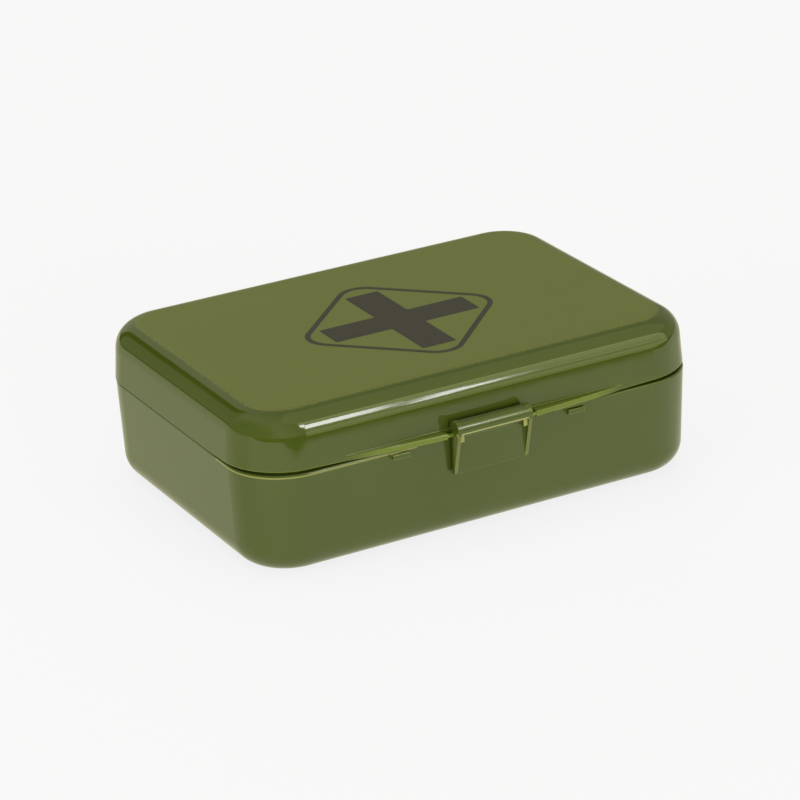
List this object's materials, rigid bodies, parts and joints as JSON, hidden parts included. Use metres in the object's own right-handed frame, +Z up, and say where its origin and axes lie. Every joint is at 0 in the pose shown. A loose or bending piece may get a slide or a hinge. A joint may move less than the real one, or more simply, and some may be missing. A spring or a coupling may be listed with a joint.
{
  "type": "first aid kit",
  "caption": "Small hinged plastic first aid box with a rocker latch, packed with bandages, dressings, tape, scissors and tweezers.",
  "frame": {"origin": "middle of the flat underside, under the centre of the box's outline", "axes": "+X along the box's length, -Y towards the latch, +Y towards the hinges, +Z up"},
  "size_m": [0.1604, 0.1272, 0.0522],
  "materials": {
    "tray_plastic": "smooth moulded, satin gloss",
    "lid_plastic": "smooth moulded, glossy walls, finely textured top",
    "latch_plastic": "smooth moulded, glossy",
    "hinge_steel": "drawn wire",
    "foil_film": "crinkled metallised film",
    "bandage_film": "frosted film",
    "gloves_film": "thin film",
    "compress_paper": "smooth medical paper",
    "sachet_foil": "laminated sachet",
    "pad_gauze": "woven gauze",
    "plaster_paper": "smooth paper",
    "leaflet_paper": "folded sheet",
    "gauze_fabric": "elastic crepe weave",
    "tape_fabric": "woven tape",
    "core_plastic": "moulded",
    "scissors_steel": "ground and polished",
    "rivet_steel": "turned",
    "tweezers_steel": "polished strip",
    "pin_steel": "nickel plated wire"
  },
  "bodies": {
    "base": {"tray": "tray_plastic", "hinge_pin_left": "hinge_steel", "hinge_pin_right": "hinge_steel", "foil_blanket": "foil_film", "triangular_bandage": "bandage_film", "gloves_packet": "gloves_film", "compress_packets": "compress_paper", "antiseptic_wipes": "sachet_foil", "wound_pad": "pad_gauze", "plaster_strips": "plaster_paper", "leaflet": "leaflet_paper", "gauze_roll_long": "gauze_fabric", "gauze_roll_short": "gauze_fabric", "tape_roll": "tape_fabric", "tape_core": "core_plastic", "scissors_lower": "scissors_steel", "scissors_rivet": "rivet_steel", "tweezers": "tweezers_steel", "safety_pins": "pin_steel"},
    "lid": {"lid": "lid_plastic"},
    "latch": {"latch": "latch_plastic"},
    "scissors_half": {"scissors_upper": "scissors_steel"}
  },
  "joints": [
    {"name": "lid_hinge", "type": "hinge", "parent": "base", "child": "lid", "pos_m": [0, 0.06025, 0.034], "axis": [-1, 0, 0], "range_deg": [0, 110]},
    {"name": "latch_pivot", "type": "hinge", "parent": "lid", "child": "latch", "pos_m": [-0.00025, -0.05895, 0.03515], "axis": [-1, 0, 0], "range_deg": [0, 20]},
    {"name": "scissors_pivot", "type": "hinge", "parent": "base", "child": "scissors_half", "pos_m": [0.02, -0.006, 0.0364], "axis": [0, 0, 1], "range_deg": [0, 25]}
  ]
}
